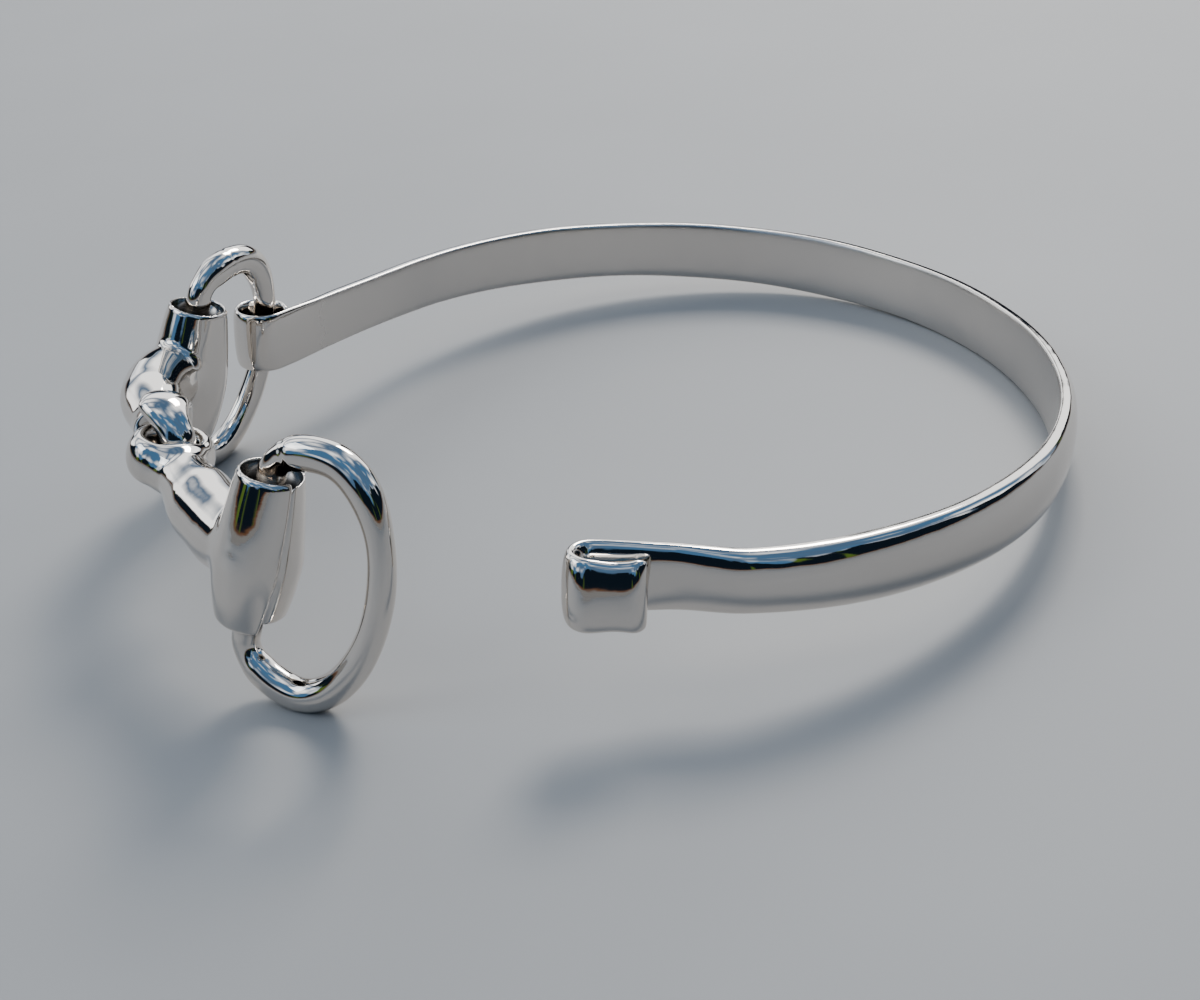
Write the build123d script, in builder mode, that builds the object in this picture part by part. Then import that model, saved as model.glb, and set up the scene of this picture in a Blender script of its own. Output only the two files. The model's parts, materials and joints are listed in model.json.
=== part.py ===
from build123d import *
import os
from math import cos, sin, radians

# Snaffle-bit bangle, open, lying on a table.  Millimetres.
# Each piece is drawn about the bangle axis: Z up through the centre of the wrist
# opening, Z = 0 at half the band height, clasp towards -Y.  At the end it is laid down
# on the three points it rests on, with the origin under the middle of the whole.
os.makedirs("parts", exist_ok=True)

# --- band: half-round section, flat face to the wrist ---
band_height = 5.3              # over the middle of the run
end_height = 4.6               # drawn down at both ends
band_thickness = 1.65
edge_share = 0.3               # part of the thickness that is straight edge, below the dome
opening_half_x = 29.3          # inner face, half width
opening_half_y = 31.3          # inner face, half depth
band_start = -82               # ellipse angle where the hook strip begins
band_arc = 217                 # ellipse angle covered up to the tail

# --- closed eye, rolled outwards from the far end of the band ---
eye_center = (-33.7, 8.5)
eye_bore = 3.4
eye_strip = 0.65
eye_start = -34                # direction of the point where the strip meets the roll
eye_sweep = 322
tail_length = 5.0

# --- open hook, rolled outwards from the near end of the band ---
hook_strip = 0.85
hook_gap = 2.1
hook_face_y = -30.55
hook_neck_x = -1.0
hook_bend_x = -6.0
hook_tip_x = -2.35
hook_height = 4.8

# --- bit rings: D shape, the straight bar turns inside a canon sleeve ---
wire = 1.9
ring_depth = 9.3               # bar centre to the far side of the bow
ring_half_height = 8.5
corner_x = 4.1
corner_y = 2.5

# --- canons: tapered bar, cross sleeve at one end, eye at the other ---
# The far canon's eye stands upright and hangs through the near canon's level eye.
canon_length = 14.7            # sleeve axis to eye centre
sleeve_diameter = 5.5
sleeve_length = 11.0
sleeve_clearance = 0.08        # radial, on the ring bar
near_sleeve_lift = 0.7         # the near sleeve rides up its bar
root_radius = 2.45
waist_radius = 1.95
neck_radius = 1.15
link_radius = 2.1              # eye, centre of the wire
link_wire = 0.75               # eye, wire radius
link_rise = 0.8                # eyes sit above the axis of the bar
link_offset = 0.5              # centre of the level eye to the wire of the upright one

# --- how the open bit lies: its own plane, leaning off the band ---
bit_plane = Plane(Location((-38.1, 0.5, 0.2), (-2.8, 11.5, 0)))
far_ring_angle = 62
far_canon_angle = -85.6
near_canon_angle = 128.3
near_ring_angle = -26

# --- from the drawing position to the resting position ---
lie = Location((5.661, 0.762, 6.126), (-3.374, 5.69, 0))


def polar(radius, angle):
    return Vector(radius * cos(radians(angle)), radius * sin(radians(angle)))


def turned(point, angle):
    """Plane in the bit plane at a point, X along the given direction, Z up the bars."""
    return Plane((bit_plane * Location(point, (0, 0, angle))))


pivot = polar(canon_length + link_radius, far_canon_angle)
near_bar = pivot - polar(canon_length + link_offset, near_canon_angle)


def band_section(thickness, height):
    """Flat wrist face, short straight edges and a domed outside, X outwards."""
    edge = edge_share * thickness
    with BuildLine() as outline:
        bow = EllipticalCenterArc((edge, 0), thickness - edge, height / 2, -90, arc_size=180)
        Polyline(bow @ 0, (0, -height / 2), (0, height / 2), bow @ 1)
    make_face(outline.edges())


def ring_bow():
    bar = Line((0, corner_y - ring_half_height), (0, ring_half_height - corner_y))
    EllipticalCenterArc((corner_x, ring_half_height - corner_y), corner_x, corner_y, 90, arc_size=90)
    EllipticalCenterArc((corner_x, 0), ring_depth - corner_x, ring_half_height, -90, arc_size=180)
    EllipticalCenterArc((corner_x, corner_y - ring_half_height), corner_x, corner_y, 180, arc_size=90)
    return bar


def height_at(share):
    """Height of the band at a share of its oval run: full over most of it, less at the ends."""
    return band_height - (band_height - end_height) * abs(2 * share - 1) ** 4


# ---------------------------------------------------------------- cuff band
roll_radius = eye_bore / 2 + eye_strip
tail_heading = polar(1, eye_start - 90)
tail_tip = Vector(*eye_center) + polar(roll_radius, eye_start)
tail_root = tail_tip - tail_heading * tail_length

with BuildLine():
    oval = EllipticalCenterArc((0, 0), opening_half_x, opening_half_y, band_start, arc_size=band_arc)
    tail = Spline(oval @ 1, tail_root, tangents=(oval % 1, tail_heading))
neck_point = oval @ 0
neck_heading = (oval % 0) * -1

with BuildPart() as cuff_band:
    for share in (0, 0.12, 0.3, 0.5, 0.7, 0.88, 1):
        with BuildSketch(Plane(oval @ share, x_dir=oval @ share, z_dir=oval % share)):
            band_section(band_thickness, height_at(share))
    sweep(path=oval, multisection=True)
    with BuildSketch(Plane(oval @ 1, x_dir=oval @ 1, z_dir=oval % 1)):
        band_section(band_thickness, end_height)
    sweep(path=tail)
    # taper from the half-round band to the strip of the rolled eye
    with BuildSketch(Plane(tail_root, x_dir=polar(1, eye_start + 180), z_dir=tail_heading)):
        band_section(band_thickness, end_height)
    with BuildSketch(Plane(tail_tip, x_dir=polar(1, eye_start + 180), z_dir=tail_heading)):
        band_section(eye_strip, end_height)
    loft()
    # taper to the strip of the hook
    with BuildSketch(Plane(neck_point, x_dir=neck_point, z_dir=neck_heading)):
        band_section(band_thickness, end_height)
    with BuildSketch(Plane((hook_neck_x, hook_face_y, 0), x_dir=(0, -1, 0), z_dir=(-1, 0, 0))):
        band_section(hook_strip, end_height)
    loft()
    # rolled eye
    with BuildSketch():
        with BuildLine():
            CenterArc(eye_center, roll_radius - eye_strip / 2, eye_start, -eye_sweep)
        trace(line_width=eye_strip)
    extrude(amount=end_height / 2, both=True)
    # hook and its leaf
    strip_y = hook_face_y - hook_strip / 2
    bend_radius = (hook_gap + hook_strip) / 2
    with BuildSketch():
        with BuildLine():
            neck = Line((hook_neck_x, strip_y), (hook_bend_x, strip_y))
            bend = CenterArc((hook_bend_x, strip_y - bend_radius), bend_radius, 90, 180)
            Line(bend @ 1, (hook_tip_x, strip_y - 2 * bend_radius))
        trace(line_width=hook_strip)
    extrude(amount=hook_height / 2, both=True)
cuff_band.part = lie * cuff_band.part
cuff_band.part.label = "cuff_band"
export_step(cuff_band.part, "parts/cuff_band.step")

# ---------------------------------------------------------------- rings
with BuildPart() as far_ring:
    stand = turned((0, 0), far_ring_angle)
    with BuildLine(Plane(stand.origin, x_dir=stand.x_dir, z_dir=stand.y_dir * -1)):
        far_bow = ring_bow()
    with BuildSketch(Plane(far_bow @ 0.5, z_dir=stand.z_dir)):
        Circle(wire / 2)
    sweep()
far_ring.part = lie * far_ring.part
far_ring.part.label = "far_ring"
export_step(far_ring.part, "parts/far_ring.step")

with BuildPart() as near_ring:
    stand = turned(near_bar, near_ring_angle)
    with BuildLine(Plane(stand.origin, x_dir=stand.x_dir, z_dir=stand.y_dir * -1)):
        near_bow = ring_bow()
    with BuildSketch(Plane(near_bow @ 0.5, z_dir=stand.z_dir)):
        Circle(wire / 2)
    sweep()
near_ring.part = lie * near_ring.part
near_ring.part.label = "near_ring"
export_step(near_ring.part, "parts/near_ring.step")


# ---------------------------------------------------------------- canons
with BuildLine() as half_canon:
    Polyline(
        (canon_length - 2.2, 0), (0, 0), (0, root_radius), (3.0, root_radius),
        (canon_length - 4.4, waist_radius), (canon_length - 2.2, neck_radius), close=True)
bar_hole = wire / 2 + sleeve_clearance

with BuildPart() as far_canon:
    stand = turned((0, 0), far_canon_angle)
    with BuildSketch(Plane(stand.origin, x_dir=stand.x_dir, z_dir=stand.y_dir * -1)):
        make_face(half_canon.edges())
    revolve(axis=Axis(stand.origin, stand.x_dir))
    with Locations(stand.location):
        Cylinder(sleeve_diameter / 2, sleeve_length)
        Cylinder(bar_hole, sleeve_length, mode=Mode.SUBTRACT)
    with Locations(stand.location * Location((canon_length, 0, link_rise), (90, 0, 0))):
        Torus(link_radius, link_wire)
far_canon.part = lie * far_canon.part
far_canon.part.label = "far_canon"
export_step(far_canon.part, "parts/far_canon.step")

with BuildPart() as near_canon:
    stand = turned(near_bar, near_canon_angle)
    with BuildSketch(Plane(stand.origin, x_dir=stand.x_dir, z_dir=stand.y_dir * -1)):
        make_face(half_canon.edges())
    revolve(axis=Axis(stand.origin, stand.x_dir))
    with Locations(stand.location * Location((0, 0, near_sleeve_lift))):
        Cylinder(sleeve_diameter / 2, sleeve_length)
        Cylinder(bar_hole, sleeve_length, mode=Mode.SUBTRACT)
    with Locations(stand.location * Location((canon_length, 0, link_rise))):
        Torus(link_radius, link_wire)
near_canon.part = lie * near_canon.part
near_canon.part.label = "near_canon"
export_step(near_canon.part, "parts/near_canon.step")

for piece in (cuff_band, far_ring, far_canon, near_canon, near_ring):
    size = piece.part.bounding_box()
    print(piece.part.label, len(piece.part.solids()), round(piece.part.volume, 2), size.min, size.max)
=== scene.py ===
import json
import math

import bpy
import numpy as np
from mathutils import Matrix, Vector


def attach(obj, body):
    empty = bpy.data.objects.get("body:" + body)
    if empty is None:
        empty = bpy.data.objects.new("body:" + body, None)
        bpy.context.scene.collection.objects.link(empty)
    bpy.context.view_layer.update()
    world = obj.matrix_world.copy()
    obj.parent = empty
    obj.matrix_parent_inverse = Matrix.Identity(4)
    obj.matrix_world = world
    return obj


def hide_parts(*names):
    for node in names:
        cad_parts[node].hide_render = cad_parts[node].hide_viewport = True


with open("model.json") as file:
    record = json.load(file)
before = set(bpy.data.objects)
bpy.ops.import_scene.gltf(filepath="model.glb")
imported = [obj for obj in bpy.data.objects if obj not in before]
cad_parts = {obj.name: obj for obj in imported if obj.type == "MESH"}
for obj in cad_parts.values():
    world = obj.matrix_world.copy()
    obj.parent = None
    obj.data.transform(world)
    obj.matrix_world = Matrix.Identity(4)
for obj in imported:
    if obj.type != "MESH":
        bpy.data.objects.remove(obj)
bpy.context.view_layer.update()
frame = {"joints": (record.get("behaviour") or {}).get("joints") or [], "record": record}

# Snaffle-bit bangle in polished silver.  Shapes are worked out in millimetres in each piece's
# own frame and carried into the frame of the CAD, in metres, by a placement matrix.
MM = 0.001
joints = {joint["name"]: joint for joint in frame["joints"]}
mounts = {mount["name"]: mount for mount in frame["record"]["mounts"]}

# --- band ---
band_lean, band_tip = -3.374, 5.69          # degrees it leans about X and Y as it lies
band_height, end_height = 5.3, 4.6          # over the middle, at both ends
band_thickness = 1.65
opening_half_x, opening_half_y = 29.3, 31.3
band_start, band_arc = -82, 217             # degrees round the wrist opening
eye_strip, hook_strip = 0.7, 1.1            # thickness of the flat ends
full_after_neck, thin_before_roll = 7, 6.5  # where the bar reaches and leaves its thickness
hook_flare, eye_flare = 0.05, 0.25          # extra height where the bar is rolled
band_step = 0.1                             # between sections

# --- closed eye at the far end of the band ---
eye_center = np.array((-33.7, 8.5))
eye_radius = 2.35                           # outside of the roll
eye_start, eye_sweep = -34, 322
tail_length = 5.0

# --- open hook at the near end ---
hook_face_y = -30.55
hook_neck_x, hook_bend_x, hook_tip_x = -1.0, -6.0, -2.35
hook_radius = 1.9                           # outside of the bend
hook_lean = 12                              # degrees the rolled end leans back
leaf_waist = 0.35                           # height lost between the leaf's tip and the bend
tip_curl, tip_curl_length = 0.35, 1.1       # the leaf's tip turns in
tip_rounding = 0.7                          # length over which both ends of the bar are eased

# --- bit plane and rings ---
bit_lean, bit_tip = -2.8, 11.5              # degrees the bit's plane leans in the band's frame
wire_radius = 0.95
ring_depth, ring_half_height = 9.3, 8.5
corner_x, corner_y = 4.1, 2.5
ring_end_swell = 0.19                       # extra radius where the bow meets the bar
ring_step = 0.15                            # between sections
far_ring_angle, near_ring_angle = 62, -26

# --- canons, each drawn with its sleeve round Z and its bar along X ---
canon_length = 14.7
far_bar_girth, near_bar_girth = 2.6, 2.65   # radius at the sleeve
far_bar_end, near_bar_end = 1.8, 2.4        # where the bar stops, short of the eye's middle
far_bar_bow, near_bar_bow = 1.75, 0.6       # how far the bar bows sideways
near_bar_drop = 0.5                         # how far its full middle hangs low
sleeve_length = 11.0
sleeve_widest = -0.15                       # height of the belly, as a share of half the length
far_sleeve_girth = (2.35, 2.98, 2.2)        # outside radius at the bottom, the belly and the top
near_sleeve_girth = (2.2, 2.95, 2.2)
far_sleeve_seam, near_sleeve_seam = 178, 176    # degrees round the bar
far_sleeve_step, near_sleeve_step = 0.25, 0.4   # how far the rolled edge stands out
seam_slant = 1.85                           # degrees the seam turns for each mm of height
seam_crease = 0.2                           # depth of the groove beside the rolled edge
flap_rise = 0.7                             # how much sooner the outer lap ends at the bottom
near_sleeve_lift = 0.7
bore_radius, bore_flare = 1.03, 0.95        # clear bore, and how far its mouths widen
link_radius, link_rise = 2.1, 0.8
far_eye_thick, near_eye_thick = 0.85, 0.8   # half thickness round the hole
far_eye_wide, near_eye_tall = 1.75, 1.6     # half width across it
far_eye_drift = 1.25                        # how far the eye's falling side slants over
link_lean = -4                              # degrees the upright eye leans over
near_eye_offset = 0.85                      # the level eye stands off the bar's line
far_canon_angle, near_canon_angle = -85.6, 128.3
canon_low, canon_high = (-3.4, -4.8, -6.2), (18.4, 4.2, 6.8)    # box round either canon
canon_cell = 0.13                           # of the grid that fills the box

# --- camera, in the band's frame ---
camera_spot = (-5.53, -131.38, 56.48)
camera_pitch, camera_roll = 27, 1.0
camera_lens, camera_sensor = 54.42, 36


def turn(angle, axis):
    return Matrix.Rotation(math.radians(angle), 4, axis)


wrist_middle = Matrix.Translation(mounts["wrist_opening"]["pos_m"])
band_place = wrist_middle @ turn(band_lean, "X") @ turn(band_tip, "Y")
bit_turn = band_place.to_3x3().to_4x4() @ turn(bit_lean, "X") @ turn(bit_tip, "Y")


def stand(joint, angle):
    """Placement on a sleeve's turning axis: X along the given direction, Z up the bar."""
    return Matrix.Translation(joints[joint]["pos_m"]) @ bit_turn @ turn(angle, "Z")


# ------------------------------------------------------------------ mesh building
def add_piece(name, points, faces, place, body, node, metal, normals=None):
    """Makes a mesh from points in mm, lays it in place and hangs it on its CAD body."""
    points = np.asarray(points) * MM
    swing = np.array(place.to_3x3()).T
    turned = points @ swing + np.array(place.translation)
    mesh = bpy.data.meshes.new(name)
    mesh.from_pydata(turned.tolist(), [], faces)
    mesh.shade_smooth()
    if normals is not None:
        mesh.normals_split_custom_set_from_vertices((normals @ swing).tolist())
    mesh.materials.append(metal)
    piece = bpy.data.objects.new(name, mesh)
    bpy.context.scene.collection.objects.link(piece)
    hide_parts(node)
    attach(piece, body)
    return piece


def paint(piece, name, values):
    """Stores one number per vertex for the materials to read."""
    layer = piece.data.attributes.new(name, "FLOAT", "POINT")
    layer.data.foreach_set("value", np.asarray(values, np.float32))


def smooth_step(low, high, value):
    t = np.clip((value - low) / (high - low), 0, 1)
    return t * t * (3 - 2 * t)


def bump_at(value, middle, width):
    return np.exp(-(((value - middle) / width) ** 2))


def strand_faces(stations, around, closed):
    """Quads of a tube of sections; an open tube gets one flat face at each end."""
    faces = []
    last = stations if closed else stations - 1
    for i in range(last):
        a, b = i * around, ((i + 1) % stations) * around
        for j in range(around):
            k = (j + 1) % around
            faces.append((a + j, b + j, b + k, a + k))
    if not closed:
        faces.append(tuple(range(around)))
        faces.append(tuple(range(stations * around - 1, (stations - 1) * around - 1, -1)))
    return faces


def run_along(points):
    """Length of the line up to each of its points."""
    return np.concatenate([[0], np.cumsum(np.linalg.norm(np.diff(points, axis=0), axis=1))])


def resample(points, step):
    """The same line with evenly spaced points."""
    length = run_along(points)
    count = int(round(length[-1] / step)) + 1
    at = np.linspace(0, length[-1], count)
    return np.stack([np.interp(at, length, points[:, k]) for k in range(points.shape[1])], 1)


def relaxed(points, rounds):
    """The line with its changes of curvature eased, ends kept."""
    points = points.copy()
    for _ in range(rounds):
        points[1:-1] += 0.25 * (points[:-2] - 2 * points[1:-1] + points[2:])
    return points


def arc(center, radius, start, sweep, count=120):
    angle = np.radians(start + np.linspace(0, sweep, count))
    return np.stack([center[0] + radius * np.cos(angle), center[1] + radius * np.sin(angle)], 1)


def line(start, end, count=40):
    t = np.linspace(0, 1, count)[:, None]
    return np.asarray(start) * (1 - t) + np.asarray(end) * t


def bridge(start, start_heading, end, end_heading, pull, count=80):
    """Smooth cubic from one point and heading to another."""
    start, end = np.asarray(start, float), np.asarray(end, float)
    a, b = start + pull * np.asarray(start_heading), end - pull * np.asarray(end_heading)
    t = np.linspace(0, 1, count)[:, None]
    return (1 - t) ** 3 * start + 3 * t * (1 - t) ** 2 * a + 3 * t * t * (1 - t) * b + t ** 3 * end


def heading(angle):
    return np.array((math.cos(math.radians(angle)), math.sin(math.radians(angle))))


# ------------------------------------------------------------------ band
def band_line():
    """Wrist-side line of the band from the tip of the hook to the inside of the eye.

    Given with the running length at the end of each of its stretches.
    """
    leaf_y = hook_face_y - 2 * hook_radius
    leaf = line((hook_tip_x, leaf_y), (hook_bend_x, leaf_y))
    leaf[:, 1] += tip_curl * smooth_step(tip_curl_length, 0, hook_tip_x - leaf[:, 0])
    bend = arc((hook_bend_x, hook_face_y - hook_radius), hook_radius, -90, -180)
    neck = line((hook_bend_x, hook_face_y), (hook_neck_x, hook_face_y))
    angle = np.radians(band_start + np.linspace(0, band_arc, 600))
    oval = np.stack([opening_half_x * np.cos(angle), opening_half_y * np.sin(angle)], 1)
    oval_start = (oval[1] - oval[0]) / np.linalg.norm(oval[1] - oval[0])
    oval_end = (oval[-1] - oval[-2]) / np.linalg.norm(oval[-1] - oval[-2])
    sweep_out = bridge(neck[-1], (1, 0), oval[0], oval_start, pull=1.5)
    tail_heading = heading(eye_start - 90)
    eye_tip = eye_center + eye_radius * heading(eye_start)
    tail_root = eye_tip - tail_heading * tail_length
    sweep_in = bridge(oval[-1], oval_end, tail_root, tail_heading, pull=3.0)
    tail = line(tail_root, eye_tip)
    roll = arc(eye_center, eye_radius, eye_start, -eye_sweep, count=240)
    parts = [leaf, bend[1:], neck[1:], sweep_out[1:], oval[1:], sweep_in[1:], tail[1:], roll[1:]]
    marks = np.cumsum([run_along(part)[-1] for part in parts])
    return relaxed(resample(np.concatenate(parts), band_step), rounds=12), marks


def band_profile(thickness, height, dome, around=56):
    """Section points (outwards, up): half-round when dome is 1, an even strip when it is 0.

    Each side is a superellipse, where a squareness of 2 would be an ellipse.
    """
    angle = np.linspace(0, 2 * math.pi, around, endpoint=False) + math.pi / around
    c, s = np.cos(angle), np.sin(angle)
    outer = c >= 0
    widest = thickness * (0.5 - 0.16 * dome)
    squareness = np.where(outer, 2.5 - 0.3 * dome, 2.5 + 4.0 * dome)
    depth = np.where(outer, thickness - widest, widest)
    x = widest + np.sign(c) * depth * np.abs(c) ** (2 / squareness)
    z = height / 2 * np.sign(s) * np.abs(s) ** (2 / squareness)
    return x, z


def band():
    path, marks = band_line()
    ahead = np.gradient(path, axis=0)
    ahead /= np.linalg.norm(ahead, axis=1)[:, None]
    out = np.stack([ahead[:, 1], -ahead[:, 0]], 1)
    run = run_along(path)
    leaf_end, hook_end, neck_end, oval_begin, oval_end, _, roll_begin, _ = marks

    # half-round over the oval, flat strip at both ends
    into_roll = smooth_step(roll_begin - tail_length, roll_begin, run)
    dome = smooth_step(hook_end - 0.5, oval_begin, run) * (1 - into_roll)
    thinned = smooth_step(roll_begin - thin_before_roll, roll_begin - 1, run)
    swell = smooth_step(hook_end + 0.5, oval_begin + full_after_neck, run) * (1 - thinned)
    strip = hook_strip + (eye_strip - hook_strip) * smooth_step(oval_begin, oval_end, run)
    thickness = strip + (band_thickness - strip) * swell ** 0.7
    thickness *= 1 + 0.02 * np.sin(run * 0.33)

    # taller over the middle, forged wider where it is rolled, and a little uneven by hand
    share = np.clip((run - oval_begin) / (oval_end - oval_begin), 0, 1)
    height = band_height - (band_height - end_height) * np.abs(2 * share - 1) ** 4
    near_hook = 1 - smooth_step(hook_end - 1, hook_end + 5, run)
    height += hook_flare * near_hook + eye_flare * into_roll
    height += 0.05 * np.sin(run * 0.21) + 0.04 * np.sin(run * 0.47 + 1)
    height -= leaf_waist * bump_at(run, leaf_end - 1.6, 1.3)

    hooked = 1 - smooth_step(hook_end - 1, neck_end + 2, run)
    lean = math.tan(math.radians(hook_lean)) * hooked
    tip = np.clip(np.minimum(run, run[-1] - run) / tip_rounding, 0, 1)
    rounding = np.sqrt(tip * (2 - tip))
    points, satin = [], []
    for i in range(len(path)):
        x, z = band_profile(thickness[i], height[i], dome[i])
        x = thickness[i] / 2 + (x - thickness[i] / 2) * max(rounding[i], 0.25)
        z = z * (0.8 + 0.2 * rounding[i])
        section = path[i] + out[i] * x[:, None]
        section[:, 1] += lean[i] * z
        points.append(np.column_stack([section, z]))
        # brushed on the wrist side of the half-round stretch, polished elsewhere
        satin.append(np.clip(1.4 - 6 * x / thickness[i], 0, 1) * dome[i])
    points, satin = np.concatenate(points), np.concatenate(satin)
    faces = strand_faces(len(path), len(points) // len(path), closed=False)
    piece = add_piece("silver_band", points, faces, band_place, "band", "cuff_band",
                      band_silver)
    paint(piece, "satin", satin)


# ------------------------------------------------------------------ rings
def ring_line():
    """Closed D: up the straight bar, over the corner, round the bow and back."""
    bar_half = ring_half_height - corner_y
    bar = line((0, -bar_half), (0, bar_half))
    quarter = np.radians(np.linspace(0, 90, 40))
    over = np.stack([corner_x * (1 - np.cos(quarter)), bar_half + corner_y * np.sin(quarter)], 1)
    half = np.radians(np.linspace(90, -90, 160))
    reach = ring_depth - corner_x
    bow = np.stack([corner_x + reach * np.cos(half), ring_half_height * np.sin(half)], 1)
    under = over[::-1] * (1, -1)
    return resample(np.concatenate([bar, over[1:], bow[1:], under[1:]]), ring_step)[:-1]


def ring(name, place, body, node, seam, phase):
    """D ring with hand-made swells; seam is the share of the way round where it is soldered."""
    path = ring_line()
    ahead = np.roll(path, -1, 0) - np.roll(path, 1, 0)
    ahead /= np.linalg.norm(ahead, axis=1)[:, None]
    side = np.stack([ahead[:, 1], -ahead[:, 0]], 1)
    run = np.arange(len(path)) / len(path)
    around = 36
    angle = np.linspace(0, 2 * math.pi, around, endpoint=False)
    on_bar = path[:, 0] < 0.02
    # three slow and seven quick swells to the round, as the wire was drawn and bent by hand
    wave = 0.035 * np.sin(run * 6 * math.pi + phase) + 0.02 * np.sin(run * 14 * math.pi)
    ends = bump_at(np.abs(path[:, 1]), ring_half_height, 2.4) * smooth_step(0.3, 1.5, path[:, 0])
    radius = wire_radius * np.where(on_bar, 1, 1 + wave + ring_end_swell * ends)
    radius = radius * (1 - 0.04 * bump_at(run, seam, 0.0035))
    points = []
    for i in range(len(path)):
        flat = radius[i] * (1 + 0.05 * np.cos(2 * angle))
        sideways = path[i][:, None] + side[i][:, None] * (flat * np.cos(angle))
        points.append(np.column_stack([sideways[0], flat * np.sin(angle), sideways[1]]))
    faces = [face[::-1] for face in strand_faces(len(path), around, closed=True)]
    piece = add_piece(name, np.concatenate(points), faces, place, body, node,
                      bit_silver)
    # painted shade: the ring's bar turns dark where it runs inside the sleeve, up to just past the
    # sleeve's ends
    sleeve_end = sleeve_length / 2
    hidden = 1 - smooth_step(sleeve_end - 0.6, sleeve_end + 0.3, np.abs(path[:, 1]))
    paint(piece, "recess_shade", np.repeat(0.95 * hidden * on_bar, around))


# ------------------------------------------------------------------ cast forms
def unpinched(inside):
    """The grid with corner-to-corner contacts filled, so that no edge carries four faces."""
    inside = inside.copy()
    crossed = True
    while np.any(crossed):
        for u, v in ((0, 1), (0, 2), (1, 2)):
            corners = []
            for du, dv in ((0, 0), (1, 1), (0, 1), (1, 0)):
                part = [slice(None)] * 3
                part[u] = slice(du, inside.shape[u] - 1 + du)
                part[v] = slice(dv, inside.shape[v] - 1 + dv)
                corners.append(inside[tuple(part)])
            near, far, left, right = corners    # views: filling them fills the grid
            crossed = (near == far) & (left == right) & (near != left)
            near |= crossed
            left |= crossed
            if crossed.any():
                break
    return inside


def grid_surface(field, low, high, cell):
    """Points, quads and normals of the surface where field is zero (surface nets)."""
    ticks = [np.arange(a, b + cell, cell) for a, b in zip(low, high)]
    grid = np.stack(np.meshgrid(*ticks, indexing="ij"), -1)
    shape = grid.shape[:3]
    inside = unpinched(field(grid.reshape(-1, 3)).reshape(shape) < 0)
    corners = [inside[i:shape[0] - 1 + i, j:shape[1] - 1 + j, k:shape[2] - 1 + k]
               for i in (0, 1) for j in (0, 1) for k in (0, 1)]
    count = np.sum(corners, axis=0)
    active = (count > 0) & (count < 8)
    number = np.full(active.shape, -1)
    number[active] = np.arange(active.sum())
    points = np.array(low) + (np.argwhere(active) + 0.5) * cell
    quads = []
    for axis in range(3):
        u, v = [k for k in range(3) if k != axis]
        if axis == 1:
            u, v = v, u
        first = [slice(None)] * 3
        second = [slice(None)] * 3
        first[axis], second[axis] = slice(0, -1), slice(1, None)
        change = inside[tuple(first)].astype(int) - inside[tuple(second)]
        where = np.argwhere(change != 0)
        sign = change[tuple(where.T)]
        enclosed = np.all(where[:, [u, v]] > 0, axis=1)
        where, sign = where[enclosed], sign[enclosed]
        loop = []
        for du, dv in ((1, 1), (0, 1), (0, 0), (1, 0)):
            step = where.copy()
            step[:, u] -= du
            step[:, v] -= dv
            loop.append(number[tuple(step.T)])
        quad = np.stack(loop, 1)
        quad[sign < 0] = quad[sign < 0][:, ::-1]
        quads.append(quad)
    quads = np.concatenate(quads)
    edges = np.concatenate([quads[:, [k, (k + 1) % 4]] for k in range(4)])
    for _ in range(3):
        points = pulled(field, points, cell)
        total, share = np.zeros_like(points), np.zeros(len(points))
        for a, b in ((0, 1), (1, 0)):
            np.add.at(total, edges[:, a], points[edges[:, b]])
            np.add.at(share, edges[:, a], 1)
        points = 0.4 * points + 0.6 * total / share[:, None]
    for _ in range(4):
        points = pulled(field, points, cell)
    return points, quads.tolist(), slope(field, points)


def slope(field, points, step=0.02):
    """Direction in which the field rises fastest."""
    parts = []
    for k in range(3):
        shift = np.zeros(3)
        shift[k] = step
        parts.append(field(points + shift) - field(points - shift))
    found = np.stack(parts, 1)
    return found / np.maximum(np.linalg.norm(found, axis=1), 1e-9)[:, None]


def pulled(field, points, cell):
    """Points moved along the slope onto the surface."""
    direction = slope(field, points)
    step = 0.02
    rate = (field(points + direction * step) - field(points - direction * step)) / (2 * step)
    move = np.clip(field(points) / np.maximum(rate, 0.3), -cell, cell)
    return points - direction * move[:, None]


def blend(a, b, reach):
    """Union of two fields with a fillet."""
    h = np.clip(0.5 + 0.5 * (b - a) / reach, 0, 1)
    return b * (1 - h) + a * h - reach * h * (1 - h)


def cut(a, b, reach):
    """Field a without b, with a rounded edge."""
    return -blend(-a, b, reach)


def bowed_bar(points, middle, radius, begin, end):
    """Tapered bar along X: middle(x) gives its (y, z), radius(x) its (side, up) radii."""
    x, y, z = points.T
    held = np.clip(x, begin, end)
    cy, cz = middle(held)
    ry, rz = radius(held)
    around = np.sqrt(((y - cy) / ry) ** 2 + ((z - cz) / rz) ** 2) - 1
    past = (x - held) / np.minimum(ry, rz)
    return (np.sqrt((around + 1) ** 2 + past ** 2) - 1) * np.minimum(ry, rz)


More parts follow.
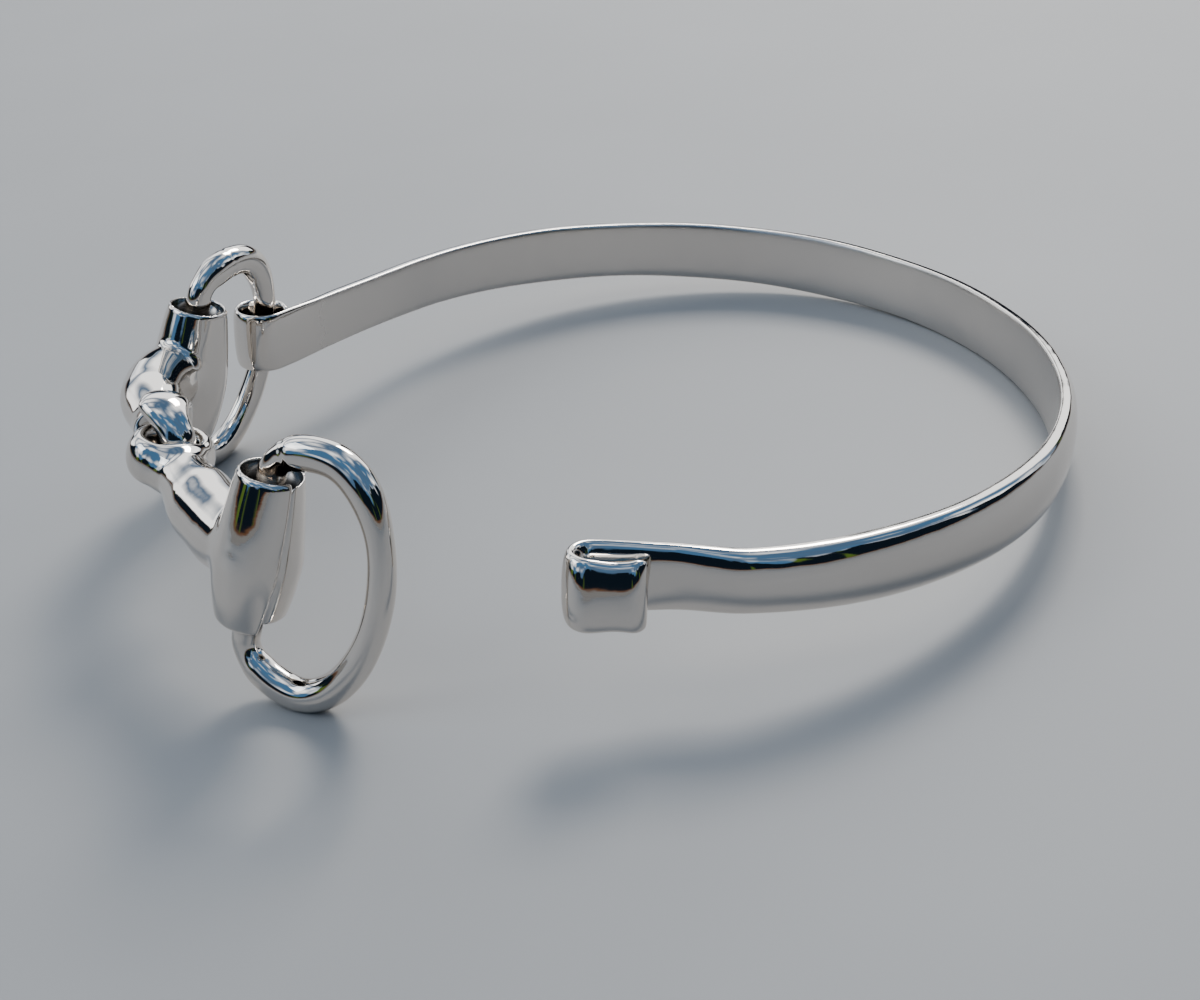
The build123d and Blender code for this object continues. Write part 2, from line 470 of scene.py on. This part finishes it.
def sleeve(points, seam, step, lift, girth):
    """Sheet rolled round the ring bar, its free edge standing along a slanting seam.

    The seam is an angle round the bar, and girth the outside radius at the bottom, the belly
    and the top.
    """
    x, y, z = points.T
    z = z - lift
    out = np.hypot(x, y)
    lag = (np.degrees(np.arctan2(y, x)) - seam - seam_slant * z + 180) % 360 - 180
    along = z / (sleeve_length / 2)
    bottom, middle, top = girth
    above = np.clip((along - sleeve_widest) / (1 - sleeve_widest), 0, None)
    below = np.clip((sleeve_widest - along) / (1 + sleeve_widest), 0, None)
    belly = middle - (middle - top) * above ** 1.5 - (middle - bottom) * below ** 2
    ledge = step * (smooth_step(-2.5, 2.5, lag) - smooth_step(-150, 150, lag))
    crease = seam_crease * bump_at(lag, 4, 5)
    outer = out - (belly - ledge - crease)
    flap_end = flap_rise * smooth_step(0, 6, lag) * (1 - smooth_step(60, 140, lag)) * (z < 0)
    ends = np.abs(z) - sleeve_length / 2 + flap_end
    wall = cut(outer, -ends, 0.45)
    mouth = bore_radius + bore_flare * smooth_step(0.55, 0.95, np.abs(along))
    return cut(wall, out - mouth, 0.2)


def bore(points):
    """Clear way for the ring's bar, past both ends of the sleeve."""
    x, y, z = points.T
    return np.maximum(np.hypot(x, y) - bore_radius, np.abs(z) - sleeve_length)


def far_canon_field(points):
    """Upright eye, leaning over, that hangs through the level eye of its partner."""
    def middle(x):
        sway = np.sin(math.pi * np.clip(x / canon_length, 0, 1) ** 0.75)
        return -far_bar_bow * sway, 0.1 * sway

    def radius(x):
        size = far_bar_girth - 0.15 * smooth_step(2, 7, x) - 0.75 * smooth_step(7.5, 13, x)
        return size, size * 0.95

    x, y, z = points.T
    bar = bowed_bar(points, middle, radius, 0.0, canon_length - far_bar_end)
    lean = math.radians(link_lean)
    ahead, rise = x - canon_length, z - link_rise
    side = y * math.cos(lean) - rise * math.sin(lean)
    up = y * math.sin(lean) + rise * math.cos(lean)
    hub = np.hypot(ahead, up) - 0.15
    facing = np.arctan2(up, ahead)
    falling = smooth_step(1.35, 0.2, facing) * smooth_step(-2.8, -1.8, facing)
    half_width = far_eye_wide - 0.4 * falling
    aside = side - 0.05 - far_eye_drift * falling
    crown = np.hypot((hub - link_radius) / far_eye_thick, aside / half_width)
    form = blend(bar, (crown - 1) * far_eye_thick, 0.7)
    form = cut(form, hub - (link_radius - far_eye_thick), 0.25)
    rolled = sleeve(points, far_sleeve_seam, far_sleeve_step, 0.0, far_sleeve_girth)
    return cut(blend(form, rolled, 0.6), bore(points), 0.1)


def near_canon_field(points):
    """Level eye, tall and fat, at the end of a bar that waists in behind it."""
    def fullness(x):
        return smooth_step(1, 5, x) * (1 - smooth_step(9, 13, x))

    def middle(x):
        return -near_bar_bow * smooth_step(5, canon_length, x), -near_bar_drop * fullness(x)

    def radius(x):
        size = near_bar_girth - 0.25 * smooth_step(1.5, 7, x) - 0.5 * smooth_step(8, 12, x)
        return size, size * (0.97 + 0.17 * fullness(x))

    x, y, z = points.T
    bar = bowed_bar(points, middle, radius, 0.0, canon_length - near_bar_end)
    ahead, aside = x - canon_length, y + near_eye_offset
    hub = np.hypot(ahead, aside * 0.92)
    crown = np.hypot((hub - link_radius) / near_eye_thick, (z - 0.1) / near_eye_tall)
    form = blend(bar, (crown - 1) * near_eye_thick, 0.8)
    well = np.hypot(ahead, aside * 0.8) - (link_radius - 0.75)
    form = cut(form, np.maximum(well, np.abs(z) - 4), 0.3)
    rolled = sleeve(points, near_sleeve_seam, near_sleeve_step, near_sleeve_lift, near_sleeve_girth)
    return cut(blend(form, rolled, 0.6), bore(points), 0.1)


def canon(name, field, place, body, node):
    points, quads, normals = grid_surface(field, canon_low, canon_high, canon_cell)
    piece = add_piece(name, points, quads, place, body, node, bit_silver, normals)
    x, y, z = points.T
    # painted shade: dark inside the bore, and a little less in the hole of the link's eye
    in_bore = 1 - smooth_step(1.6, 2.1, np.hypot(x, y))
    in_link = bump_at(np.hypot(x - canon_length, y), 0.6, 0.9) * bump_at(z, link_rise, 1.5)
    paint(piece, "recess_shade", np.clip(np.maximum(in_bore, 0.7 * in_link), 0, 1))


# ------------------------------------------------------------------ materials
def material(name):
    made = bpy.data.materials.new(name)
    made.use_nodes = True
    tree = made.node_tree
    tree.nodes.clear()
    output = tree.nodes.new("ShaderNodeOutputMaterial")
    shader = tree.nodes.new("ShaderNodeBsdfPrincipled")
    tree.links.new(shader.outputs[0], output.inputs[0])
    return made, tree, shader


def add_node(tree, kind, inputs=None, **settings):
    """Makes a shader node; each input is a number, a colour or another node's output."""
    made = tree.nodes.new(kind)
    for key, value in settings.items():
        setattr(made, key, value)
    for key, value in (inputs or {}).items():
        if isinstance(value, bpy.types.NodeSocket):
            tree.links.new(value, made.inputs[key])
        else:
            made.inputs[key].default_value = value
    return made


def noise(tree, place, scale, detail, **others):
    inputs = {"Vector": place, "Scale": scale, "Detail": detail}
    inputs.update({key.capitalize(): value for key, value in others.items()})
    return add_node(tree, "ShaderNodeTexNoise", inputs).outputs["Fac"]


def stretched(tree, place, scale, shift=(0, 0, 0)):
    return add_node(tree, "ShaderNodeMapping",
                    {"Vector": place, "Scale": scale, "Location": shift}).outputs[0]


def math_node(tree, operation, *values):
    return add_node(tree, "ShaderNodeMath", dict(enumerate(values)), operation=operation).outputs[0]


def ramp(tree, value, low, high, start=0.0, end=1.0):
    """Goes from start to end while value goes from low to high, and stays there outside."""
    inputs = {"Value": value, "From Min": low, "From Max": high, "To Min": start, "To Max": end}
    return add_node(tree, "ShaderNodeMapRange", inputs).outputs[0]


def mixed(tree, share, none, full):
    """Colour none where share is 0, colour full where it is 1."""
    inputs = {0: share, 6: none, 7: full}
    return add_node(tree, "ShaderNodeMix", inputs, data_type="RGBA").outputs[2]


def bump(tree, height, distance, strength, normal=None):
    inputs = {"Height": height, "Distance": distance, "Strength": strength}
    if normal is not None:
        inputs["Normal"] = normal
    return add_node(tree, "ShaderNodeBump", inputs).outputs[0]


def silver(name):
    """Polished silver: soft hand-made waves, hairline scratches, and painted shade, a dark colour,
    in recesses.
    """
    made, tree, shader = material(name)
    place = add_node(tree, "ShaderNodeTexCoord").outputs["Object"]
    satin = add_node(tree, "ShaderNodeAttribute", attribute_name="satin").outputs["Fac"]
    recess_shade = add_node(tree, "ShaderNodeAttribute", attribute_name="recess_shade").outputs["Fac"]
    waves = noise(tree, place, 260.0, 1.5)
    ripple = noise(tree, place, 900.0, 2.0)
    hairs = noise(tree, stretched(tree, place, (700.0, 900.0, 9000.0)), 1.0, 3.0)

    swell = bump(tree, waves, 0.00035, 0.22)
    tremor = bump(tree, ripple, 0.00004, 0.12, swell)
    scratch_strength = math_node(tree, "MULTIPLY_ADD", satin, 0.5, 0.05)
    brush = bump(tree, hairs, 0.00001, scratch_strength, tremor)
    tree.links.new(brush, shader.inputs["Normal"])

    polish = ramp(tree, ripple, 0.35, 0.7, start=0.035, end=0.075)
    with_satin = math_node(tree, "MULTIPLY_ADD", satin, 0.24, polish)
    with_recess_rough = math_node(tree, "MULTIPLY_ADD", recess_shade, 0.3, with_satin)
    tree.links.new(with_recess_rough, shader.inputs["Roughness"])

    # the near-black colour is painted shade, laid where the recess mask is set: in the sleeves'
    # bores, in the link's hole and on the ring bars hidden in the sleeves
    bright, painted_shade = (0.70, 0.655, 0.605, 1), (0.03, 0.027, 0.025, 1)
    tree.links.new(mixed(tree, recess_shade, bright, painted_shade), shader.inputs["Base Color"])
    shader.inputs["Metallic"].default_value = 1.0
    return made


band_silver = silver("band_silver")
bit_silver = silver("bit_silver")


# ------------------------------------------------------------------ studio
def floor():
    """Plain pale table top."""
    made, tree, shader = material("pale_table")
    place = add_node(tree, "ShaderNodeTexCoord").outputs["Object"]
    darker, paler = (0.33, 0.322, 0.31, 1), (0.38, 0.371, 0.36, 1)
    tone = mixed(tree, noise(tree, place, 25.0, 3.0), darker, paler)
    tree.links.new(tone, shader.inputs["Base Color"])
    shader.inputs["Roughness"].default_value = 0.6
    half = 4.0
    corners = [(-half, -half, 0), (half, -half, 0), (half, half, 0), (-half, half, 0)]
    mesh = bpy.data.meshes.new("table_top")
    mesh.from_pydata(corners, [], [(0, 1, 2, 3)])
    mesh.materials.append(made)
    top = bpy.data.objects.new("table_top", mesh)
    bpy.context.scene.collection.objects.link(top)


def soft_light(name, spot, size, power, colour, aim=(0, 0, 0.008)):
    lamp = bpy.data.lights.new(name, "AREA")
    lamp.shape = "RECTANGLE"
    lamp.size, lamp.size_y = size
    lamp.energy = power
    lamp.color = colour
    holder = bpy.data.objects.new(name, lamp)
    bpy.context.scene.collection.objects.link(holder)
    holder.location = spot
    holder.rotation_mode = "QUATERNION"
    holder.rotation_quaternion = (Vector(aim) - Vector(spot)).to_track_quat("-Z", "Y")


def surround():
    """What the silver mirrors: open sky with branches, over dark ragged growth and pale ground."""
    world = bpy.data.worlds.new("canopy")
    bpy.context.scene.world = world
    world.use_nodes = True
    tree = world.node_tree
    tree.nodes.clear()
    output = tree.nodes.new("ShaderNodeOutputWorld")
    back = tree.nodes.new("ShaderNodeBackground")
    tree.links.new(back.outputs[0], output.inputs[0])
    way = add_node(tree, "ShaderNodeTexCoord").outputs["Generated"]
    parts = add_node(tree, "ShaderNodeSeparateXYZ", {0: way})
    depth, height = parts.outputs["Y"], parts.outputs["Z"]

    # blue overhead and to the sides, bright haze behind, soft dark branches across it
    blue, haze, branch = (0.08, 0.22, 0.44, 1), (2.3, 2.4, 2.5, 1), (0.10, 0.19, 0.34, 1)
    cloud = math_node(tree, "MULTIPLY_ADD", depth, 0.16, noise(tree, way, 1.9, 2.0))
    sky = mixed(tree, ramp(tree, cloud, 0.42, 0.60), blue, haze)
    twigs = noise(tree, way, 0.9, 1.0, roughness=0.5, distortion=0.3)
    off_ridge = math_node(tree, "ABSOLUTE", math_node(tree, "SUBTRACT", twigs, 0.5))
    sky = mixed(tree, ramp(tree, off_ridge, 0.0, 0.08), branch, sky)

    # growth low down: nearly black, with upright green stripes and a warm foot
    dark, green, warm = (0.006, 0.012, 0.022, 1), (0.10, 0.18, 0.03, 1), (0.16, 0.08, 0.045, 1)
    leaves = noise(tree, stretched(tree, way, (5.0, 5.0, 0.6)), 1.0, 1.0)
    growth = mixed(tree, ramp(tree, leaves, 0.58, 0.64), dark, green)
    at_foot = ramp(tree, height, 0.055, 0.070, start=1.0, end=0.0)
    growth = mixed(tree, at_foot, growth, warm)

    # its ragged top stands lower behind the bangle
    tall = stretched(tree, way, (2.4, 2.4, 0.8), (0.7, 0.2, 0))
    ragged = math_node(tree, "MULTIPLY_ADD", noise(tree, tall, 1.0, 2.0, roughness=0.5), -1.3, 0.50)
    lower_behind = math_node(tree, "MULTIPLY_ADD", depth, 0.12, ragged)
    level = math_node(tree, "ADD", height, lower_behind)
    above_ground = mixed(tree, ramp(tree, level, 0.13, 0.17), growth, sky)

    ground = (0.25, 0.258, 0.268, 1)
    on_ground = ramp(tree, height, 0.038, 0.048, start=1.0, end=0.0)
    tree.links.new(mixed(tree, on_ground, above_ground, ground), back.inputs[0])
    back.inputs[1].default_value = 1.0


def camera():
    made = bpy.data.cameras.new("camera")
    made.lens = camera_lens
    made.sensor_width = camera_sensor
    made.clip_start, made.clip_end = 0.005, 10
    holder = bpy.data.objects.new("camera", made)
    bpy.context.scene.collection.objects.link(holder)
    spot = Matrix.Translation(Vector(camera_spot) * MM)
    holder.matrix_world = band_place @ spot @ turn(90 - camera_pitch, "X") @ turn(camera_roll, "Z")
    bpy.context.scene.camera = holder


camera()
floor()
surround()
soft_light("key_softbox", spot=(0.12, 0.32, 0.32), size=(0.14, 0.14), power=1.7,
           colour=(1.0, 0.97, 0.93))
soft_light("fill_softbox", spot=(-0.45, -0.05, 0.40), size=(0.30, 0.20), power=0.5,
           colour=(0.85, 0.93, 1.0))

band()
ring("far_bit_ring", stand("far_canon_turn", far_ring_angle),
     "ring_far", "far_ring", seam=0.36, phase=1.0)
ring("near_bit_ring", stand("near_ring_turn", near_ring_angle),
     "ring_near", "near_ring", seam=0.318, phase=0.0)
canon("far_canon_form", far_canon_field, stand("far_canon_turn", far_canon_angle),
      "canon_far", "far_canon")
canon("near_canon_form", near_canon_field, stand("near_ring_turn", near_canon_angle),
      "canon_near", "near_canon")
